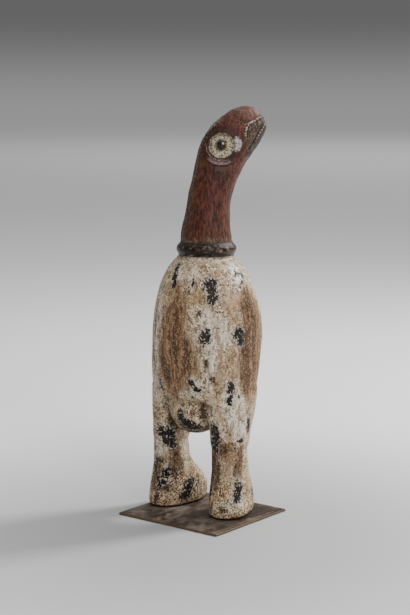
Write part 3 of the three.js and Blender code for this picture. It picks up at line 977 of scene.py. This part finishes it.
ragged = (spots(steep, 14, detail=3, rough=0.6) - 0.5) * 3
bare_field = field_of("bare") + ragged
rubbed = torn(bare_field + 0.55, steep, 240, 0.8, 0.6)
cream = mix(rubbed * 0.6, cream, tone(148, 122, 96))
loss = torn(bare_field, upright, 300, 0.9, 0.35)
pepper_level = 0.62 - step(bare_field, -1.6, 0.2) * 0.09
peppered = speckled(placed(0.6, (0.2, 0.4, 0.1)), 330, pepper_level, 0.05)
left_on = speckled(placed(0.45, (0.6, 0.9, 0.5)), 330, 0.585, 0.06)
left_on = left_on * step(uneven_wear, 0.46, 0.58)
loss = loss * (1 - left_on * 0.8)
loss = maths("MAXIMUM", loss, peppered * 0.8)
wood = lay(wood, [
    (step(pepper, 0.52, 0.58, 0.5), tone(56, 37, 24)),
    (step(pepper, 0.48, 0.42, 0.3), tone(210, 176, 142)),
])
coat = mix(loss, cream, wood)

# Darker at the foot of the legs: soil, and painted contact shade where the feet meet the plate.
soil_and_contact_shade_field = (1.6 - field_of("head_height")) / 5
soil_and_contact_shade = torn(soil_and_contact_shade_field, plain, 180, 0.6, 0.5)
coat = mix(soil_and_contact_shade * 0.55, coat, tone(58, 41, 28))
# a near-black band along the soles: painted contact shadow
under = step(field_of("head_height") + pepper * 2, 4.4, 2.4, 0.95)
coat = mix(under, coat, tone(28, 19, 13))

print("nodes with the pits and losses:", len(tree.nodes))

# %% [markdown]
# The black dabs lie on top of the cream and have flaked. Where a flake is off, a paler ground
# shows, so each dab is laid twice: a pale ground first, and black over it with specks left
# out. The shiny patch on the shoulder is where the figure has been held. Its white glints are
# painted highlights, with dark flecks between them.

# %% Black paint, and the shiny shoulder with painted highlights
dab = torn(field_of("black"), plain, 240, 0.6, 0.12)
flake_level = step(field_of("black"), -0.1, 0.7, 0.6, 0.475)
flakes = speckled(placed(0.7, (0.7, 0.1, 0.3)), 430, flake_level, 0.05)
dab_shown = dab * (1 - flakes)
black_paint = mix(step(patches, 0.44, 0.62), tone(17, 15, 14), tone(44, 37, 31))
shiny = torn(field_of("shiny"), plain, 260, 0.9, 0.3)
highlight_and_fleck_noise = spots(placed(0.8, (0.2, 0.3, 0.9)), 4.2, detail=3, rough=0.65)
coat = lay(coat, [
    # painted highlights: white glints on the shiny shoulder, with dark flecks
    (shiny * step(highlight_and_fleck_noise, 0.53, 0.57, 0.9), tone(246, 244, 246)),
    (shiny * step(highlight_and_fleck_noise, 0.48, 0.44), tone(42, 38, 37)),
    (dab * 0.6, tone(206, 198, 186)),
    (dab_shown, black_paint),
])

print("nodes with the black:", len(tree.nodes))

# %% [markdown]
# The neck and head are red-brown over dark wood, streaked along the neck and rubbed dark along
# the nape. The paint ends in a wavy edge above the collar ring.

# %% Red neck and head
streaks = spots(placed(0.2, (0.5, 0.2, 0.8)), 2.5, detail=4, rough=0.75)
mottle = spots(placed(0.5, (0.1, 0.6, 0.2)), 7, detail=4, rough=0.65)
tint = spots(placed(0.35, (0.4, 0.3, 0.7)), 16, detail=2)
red = mix(step(tint, 0.44, 0.58), tone(92, 45, 37), tone(90, 54, 37))
red = lay(red, [
    (step(streaks, 0.49, 0.42, 0.9), tone(38, 21, 17)),
    (step(streaks, 0.53, 0.63, 0.7), tone(112, 72, 57)),
    (step(mottle, 0.5, 0.62, 0.6), tone(48, 30, 24)),
    (step(pepper, 0.5, 0.56, 0.3), tone(42, 24, 19)),
    (step(pepper, 0.48, 0.42, 0.16), tone(126, 86, 70)),
])
flare = mix(step(streaks, 0.42, 0.58), tone(114, 96, 78), tone(70, 55, 43))
reddened = torn(field_of("neck"), plain, 110, 1.2, 0.2)
red = mix(reddened, flare, red)
rim = torn(field_of("rim"), upright, 300, 0.7, 0.4)
rim_tone = mix(step(pepper, 0.44, 0.52), tone(112, 92, 74), tone(52, 38, 30))
red = mix(rim * 0.75, red, rim_tone)
head_x = field_of("head_forward")
head_z = field_of("head_height")


def head_patch(x, z, half_x, half_z, tear=0.5):
    """A soft patch on both sides of the head, by its place in the head's upright plane."""
    aside = (head_x - x) / half_x
    above = (head_z - z) / half_z
    squares = aside * aside + above * above
    reach = 1 - maths("SQRT", squares)
    return torn(reach, plain, 260, tear, 0.25)


crown = mix(step(pepper, 0.44, 0.56), tone(122, 78, 55), tone(66, 41, 29))
red = lay(red, [
    (head_patch(37, 480, 15, 11, 0.8) * 0.45, crown),
    # a lighter pink patch where the crown faces the lamp: painted light
    (head_patch(52, 487, 10, 7) * 0.85, tone(100, 62, 55)),
    (head_patch(6, 416, 9, 8, 1) * 0.7, tone(44, 31, 27)),
    (head_patch(12, 424, 10, 6, 1.5) * 0.4, tone(98, 76, 72)),
])
crest = rim * step(head_z, 440, 455)
red = mix(crest * 0.8, red, tone(38, 27, 20))
chips = speckled(placed(shift=(0.3, 0.9, 0.1)), 330, 0.55, 0.05)
chips = crest * chips * step(head_x, 44, 34)
red = mix(chips * 0.65, red, tone(190, 178, 160))
coat = mix(step(field_of("neck"), -1.6, -1.3), coat, red)

print("nodes with the red:", len(tree.nodes))

# %% [markdown]
# The beak is bare dark wood, with a pale broken crust where the red ends, and a thin mouth line.
# Carving alone would be too faint at this size, so the lines that are carved are painted too,
# from the same distances: painted shade beside the crust, and the mouth line painted dark as the
# shade in its slit.

# %% Beak and mouth
beak_gap = field_of("beak")
beak_colour = mix(step(streaks, 0.42, 0.58), tone(44, 32, 25), tone(84, 67, 51))
beak_colour = lay(beak_colour, [
    (step(streaks, 0.6, 0.68), tone(112, 94, 78)),
    (step(mottle, 0.5, 0.62, 0.6), tone(52, 40, 32)),
    (step(pepper, 0.5, 0.56, 0.5), tone(34, 24, 18)),
    (step(pepper, 0.48, 0.42, 0.4), tone(136, 118, 100)),
])
coat = mix(step(beak_gap, -1.5, 2), coat, beak_colour)
high_on_beak = step(head_z, 450, 462) * step(head_x, 64, 56)
# painted shade: a dark line beside the crust ridge
painted_shade_line = step(abs(beak_gap - 1.6), 2.2, 0.8, 0.75)
coat = mix(painted_shade_line * high_on_beak, coat, tone(44, 33, 28))
edge_field = 1.1 - abs(beak_gap)
crust_line = torn(edge_field, plain, 480, 3.6, 0.5)
crust_tone = mix(step(pepper, 0.46, 0.54), tone(176, 160, 142), tone(74, 56, 44))
coat = mix(crust_line * high_on_beak, coat, crust_tone)
mouth_gap = field_of("mouth")
coat = lay(coat, [
    (step(mouth_gap, 3.2, 4.2) * step(mouth_gap, 29, 20, 0.85), tone(46, 34, 28)),
    # the mouth line painted dark: painted shade in its slit
    (step(abs(mouth_gap), 1.8, 0.9, 0.95), tone(24, 18, 16)),
])
dashes = maths("SINE", field_of("mouth_run") * 1.5)
lip_field = 1.1 - abs(mouth_gap - 2.9)
lip = step(lip_field, 0, 0.5) * step(dashes, -0.2, 0.3) * step(field_of("mouth_run"), 46, 38)
lip = lip * step(streaks, 0.56, 0.48, 1, 0.3)
coat = mix(lip * 0.8, coat, tone(186, 178, 168))

print("nodes with the beak:", len(tree.nodes))

# %% [markdown]
# Each eye is a cream disc with rays, a brown iris and a dark pupil with a painted highlight, and a pale
# lid line below.
# The rings are drawn by distance from the eye's middle and the lines by the angle round it,
# with noise added to the distance so that they look brushed by hand.

# %% Eyes
eye_x = field_of("eye_x")
eye_y = field_of("eye_y")
eye_gap = maths("SQRT", eye_x * eye_x + eye_y * eye_y)
eye_turn = maths("ARCTAN2", eye_y, eye_x)
uneven = (spots(plain, 5, detail=3) - 0.5) * 4
eye_reach_now = eye_gap + uneven


def ring_mask(inner, outer, soft=0.5):
    """1 between two distances from the eye's middle."""
    into = step(eye_reach_now, inner - soft, inner + soft)
    return into * step(eye_reach_now, outer + soft, outer - soft)


def eye_sector(middle, half, soft=14):
    """1 within an angle of a direction round the eye, in degrees up from straight ahead."""
    turned = eye_turn - math.radians(middle)
    return step(maths("COSINE", turned), math.cos(math.radians(half + soft)),
                math.cos(math.radians(half - soft)))


rays = maths("SINE", (eye_turn + uneven * 0.12) * 19)
flecks = spots(plain, 2, detail=3, rough=0.75)
ray_noise = rays * 0.045 + flecks
rings = maths("SINE", eye_reach_now * 2.6)
ring_noise = rings * 0.05 + flecks
eye_white = mix(step(ray_noise, 0.44, 0.56), tone(198, 188, 158), tone(134, 118, 94))
eye_white = mix(step(ray_noise, 0.53, 0.61, 0.9), eye_white, tone(58, 44, 34))
rim_white = mix(step(ring_noise, 0.42, 0.54), tone(168, 154, 134), tone(70, 54, 44))
coat = lay(coat, [
    (ring_mask(15, 25, 2) * step(flecks, 0.62, 0.46, 0.8, 0.2), tone(50, 29, 24)),
    (head_patch(25, 467, 7.5, 6) * 0.7, tone(76, 50, 48)),
])
lid_paint = ring_mask(18.8, 23.6, 0.9) * eye_sector(-102, 34) * step(flecks, 0.58, 0.46, 0.95, 0.15)
coat = lay(coat, [
    (lid_paint, tone(142, 120, 124)),
    (ring_mask(24, 25.6) * eye_sector(-97, 36), tone(38, 25, 22)),
    (ring_mask(17.2, 18.3, 0.4) * eye_sector(-138, 46) * step(flecks, 0.58, 0.46),
     tone(158, 143, 126)),
    (head_patch(30, 451, 6.2, 8.4, 0.34) * 0.9,
     mix(step(flecks, 0.5, 0.58), tone(196, 186, 184), tone(110, 96, 96))),
])
worn_side = maths("ADD", eye_sector(125, 70, 35), 0.25, clamp=True)
eye_white = mix(step(eye_reach_now, 10, 13, 0.9) * worn_side, eye_white, rim_white)
coat = lay(coat, [
    (ring_mask(-9, 16, 1), eye_white),
    (ring_mask(13, 13.9, 0.4) * eye_sector(35, 60), tone(66, 52, 42)),
    (ring_mask(15.2, 16.8, 0.5) * step(flecks, 0.56, 0.48), tone(60, 46, 38)),
])
iris = ring_mask(-9, 7.4, 1)
coat = mix(iris * 0.7, coat, mix(step(flecks, 0.44, 0.56), tone(120, 104, 74), tone(70, 50, 36)))
pupil = ring_mask(-9, 5.6, 0.8)
coat = mix(pupil, coat, mix(step(flecks, 0.5, 0.62), tone(26, 22, 16), tone(76, 56, 42)))


def eye_spot(x, y, size):
    """A small round spot beside the eye's middle."""
    aside = eye_x - x
    above = eye_y - y
    away = maths("SQRT", aside * aside + above * above)
    return step(away, size + 0.5, size - 0.5)


coat = lay(coat, [
    # a painted highlight on the pupil, at its upper right
    (eye_spot(2.2, 1.6, 1.3) * 0.9, tone(206, 192, 194)),
    (eye_spot(4.6, 0.4, 1.6) * 0.6, tone(112, 78, 56)),
    (field_of("beads") * 0.8, tone(172, 130, 122)),
])

print("nodes with the eyes:", len(tree.nodes))

# %% [markdown]
# The collar ring is black, and worn brown where hands have held it.

# %% Collar ring
ring_shown = step(field_of("collar"), -0.2, 0.25)
worn_ring = spots(placed(1.6, (0.9, 0.3, 0.4)), 8, detail=4, rough=0.7)
ring_colour = mix(step(worn_ring, 0.48, 0.6), tone(28, 24, 22), tone(78, 63, 52))
ring_colour = mix(step(worn_ring, 0.57, 0.66, 0.75), ring_colour, tone(138, 122, 106))
coat = mix(ring_shown, coat, ring_colour)

print("nodes with the collar:", len(tree.nodes))

# %% [markdown]
# Last come dirt and painted shade in the hollows, painted light on what stands proud, dull and
# shiny places, and a fine bump for what is too small to carve: the crust of the paint, its pepper
# of flakes and the open fibres of the wood.

# %% Dirt and painted shade in the hollows, painted light on the ridges, gloss and fine bump
deep = field_of("hollow")
# dirt and painted shade: darker in the hollows
coat = mix(step(deep, 0.2, 1.4, 0.6), coat, tone(54, 38, 27))
# painted light: lighter on what stands proud
coat = mix(step(deep, -0.5, -1.5, 0.3), coat, tone(214, 200, 180), how="SOFT_LIGHT")

on_red = step(field_of("neck"), -1.2, -0.8)
dull = mix(loss, grey(0.74), grey(0.6))
dull = lay(dull, [
    (dab_shown, grey(0.42)),
    (on_red, mix(step(mottle, 0.4, 0.6), grey(0.42), grey(0.62))),
    (shiny, grey(0.24)),
    (ring_shown, mix(step(worn_ring, 0.4, 0.6), grey(0.22), grey(0.5))),
    (pupil, grey(0.12)),
])

crust = (1 - loss) * 0.25 + pepper * -0.85 + fibres * -0.45 + dab_shown * 0.15
finish_shader(wood_shader, crust, MM, Base_Color=coat, Roughness=dull, Specular_IOR_Level=0.25,
              Coat_Weight=shiny * 0.35, Coat_Roughness=0.24)
dress(figure, painted)
print("painted wood nodes:", len(tree.nodes))

# %% [markdown]
# The plate is thin sheet steel with a dark patina. It keeps the solid's own shape, so it only
# needs its finish: brown-grey, clouded, with pale scuffs across it, edges painted lighter, as
# worn bare and as painted light, and painted shade over its right-hand side.

# %% Patinated steel
steel, tree, steel_shader = new_material("patinated_steel")
plain = placed()
brushed = placed(shift=(0.2, 0.7, 0), along_y=0.55)
cloud = spots(brushed, 19, detail=5, rough=0.62, twist=1.2)
small = spots(plain, 3.2, detail=4, rough=0.65)
patina = mix(step(cloud, 0.38, 0.62), tone(52, 43, 36), tone(96, 84, 74))
patina = mix(step(small, 0.5, 0.66, 0.5), patina, tone(54, 43, 36))
PLATE_HALF_X, PLATE_HALF_Y = 76 * MM, 70 * MM
plate_x, plate_y, _ = coordinates(own_place())
to_edge = maths("MINIMUM", PLATE_HALF_X - abs(plate_x), PLATE_HALF_Y - abs(plate_y))
edge_field = 1 - to_edge / (1.1 * MM)
bare_and_lit_edge = torn(edge_field, plain, 140, 0.5, 0.4)
scuff = torn(cloud - 0.6, brushed, 60, 0.25, 0.12)
patina = mix(scuff * 0.6, patina, tone(122, 110, 101))
PALE_SMEAR, RIGHT_SIDE_SHADE = tone(134, 124, 116), tone(46, 37, 32)
SMEAR_TURN_X, SMEAR_TURN_Y = 0.785, 0.62
SMEARS = [
    # middle, half its length and half its width in millimetres, and its colour
    # the dark ones are painted shade over the plate's right-hand side, the pale ones are scuffs
    (-70, -38, 46, 26, RIGHT_SIDE_SHADE), (-20, -50, 40, 20, RIGHT_SIDE_SHADE), (-66, -54, 34, 24, RIGHT_SIDE_SHADE),
    (42, 19, 24, 11, PALE_SMEAR), (-28, 31, 13, 9, PALE_SMEAR), (60, 50, 12, 4, PALE_SMEAR),
]
for smear_x, smear_y, half_long, half_short, smear_tone in SMEARS:
    aside = plate_x - smear_x * MM
    above = plate_y - smear_y * MM
    long = (aside * SMEAR_TURN_X + above * SMEAR_TURN_Y) / (half_long * MM)
    short = (aside * SMEAR_TURN_Y - above * SMEAR_TURN_X) / (half_short * MM)
    smear = torn(1 - maths("SQRT", long * long + short * short), brushed, 90, 0.9, 0.5)
    patina = mix(smear * 0.6, patina, smear_tone)
# edges worn bare, and painted light where they catch the lamp
patina = mix(bare_and_lit_edge * 0.6, patina, tone(122, 102, 86))
line_field = 0.4 - abs(to_edge - 5.5 * MM) / (1.5 * MM)
worn_line = torn(line_field, plain, 60, 0.9, 0.4)
patina = mix(worn_line * 0.55, patina, tone(140, 116, 96))
pits = speckled(plain, 420, 0.62, 0.05)
patina = mix(pits * 0.6, patina, tone(38, 30, 25))
finish_shader(steel_shader, small + pits * -0.6, 0.1 * MM, 0.8, Base_Color=patina,
              Roughness=step(cloud, 0.35, 0.65, 0.75, 0.55), Metallic=0.2, Specular_IOR_Level=0.2)
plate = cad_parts["base_plate"]
dress(plate, steel)
print("steel nodes:", len(tree.nodes))

# %% [markdown]
# A photograph like this one is taken on pale paper, with the light from the right. The key
# lamp stands beyond the figure, a wide one hangs high above and a small one is on the
# camera's side. A fourth lights the paper far behind. The paper could be a curved sweep, but
# that would stand in the way of a camera on the other side, so it is a very large round floor.
# RIGHT and TOWARD are to the right and towards the camera, along the floor.
# Far away it meets air of the same grey, and the air darkens upwards, so no horizon shows.

# %% Floor
FLOOR_RADIUS = 40
RIGHT, TOWARD = Vector((-0.785, -0.620, 0)), Vector((-0.620, 0.785, 0))
bpy.ops.object.select_all(action="DESELECT")
bpy.ops.mesh.primitive_circle_add(vertices=128, radius=FLOOR_RADIUS, fill_type="NGON", location=(0, 0, 0))
floor = bpy.context.active_object
floor.name = "paper_floor"
paper, tree, paper_shader = new_material("pale_paper")
# the middle of the painted shade round the figure, moved towards the camera
PAPER_MIDDLE = TOWARD * 0.08
far = tree.nodes.new("ShaderNodeVectorMath")
far.operation = "LENGTH"
feed(far.inputs[0], placed(shift=-PAPER_MIDDLE))
out_to = Wire(far.outputs["Value"])
# the paper's grey is painted light and shade: dark round the figure, brightest 0.7 to 1.2 m out, darker to
# 3.2 m, pale far away
paper_light_and_shade = mix(step(out_to, 0.1, 0.7), grey(0.46), grey(0.89))
paper_light_and_shade = lay(paper_light_and_shade, [
    (step(out_to, 1.2, 3.2), grey(0.74)),
    (step(out_to, 4, 14), grey(0.95)),
])
feed(paper_shader.inputs["Base Color"], paper_light_and_shade)
feed(paper_shader.inputs["Roughness"], 0.9)
floor.data.materials.append(paper)
print("floor radius in m:", FLOOR_RADIUS)

# %% Air
world = bpy.data.worlds.new("studio_air")
bpy.context.scene.world = world
world.use_nodes = True
tree = world.node_tree
air = next(n for n in tree.nodes if n.type == "BACKGROUND")
_, _, rise = coordinates(Wire(tree.nodes.new("ShaderNodeTexCoord").outputs["Generated"]))
seen = mix(step(rise, -0.02, 0.052), grey(0.32), grey(0.13))
by_camera = Wire(tree.nodes.new("ShaderNodeLightPath").outputs["Is Camera Ray"])
feed(air.inputs["Color"], mix(by_camera, grey(0.33), seen))
feed(air.inputs["Strength"], 1)
print("air nodes:", len(tree.nodes))

# %% Lamps
def soft_lamp(name, right, toward, up, width, power, aim=(0, 0, 0.25)):
    """A square area lamp, placed as seen from the camera. Width and place are in metres."""
    lamp = bpy.data.lights.new(name, "AREA")
    lamp.size = width
    lamp.energy = power
    holder = bpy.data.objects.new(name, lamp)
    bpy.context.scene.collection.objects.link(holder)
    holder.location = RIGHT * right + TOWARD * toward + Vector((0, 0, up))
    look = RIGHT * aim[0] + TOWARD * aim[1] + Vector((0, 0, aim[2])) - holder.location
    holder.rotation_euler = look.to_track_quat("-Z", "Y").to_euler()
    holder.visible_camera = False


soft_lamp("key_lamp", 1.4, -0.8, 1.6, 0.4, 47)
soft_lamp("high_lamp", 0.9, -0.9, 4, 3.6, 95, aim=(0.9, -0.9, 0))
soft_lamp("front_lamp", 0.9, 2, 1.2, 0.6, 20)
soft_lamp("far_lamp", 2, -9, 6, 5, 150, aim=(2, -9, 0))

# %% [markdown]
# The carved skin stands for the solid of the figure and rides on the part's only body.

# %% Attach and finish
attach(figure, "root")
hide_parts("figure")
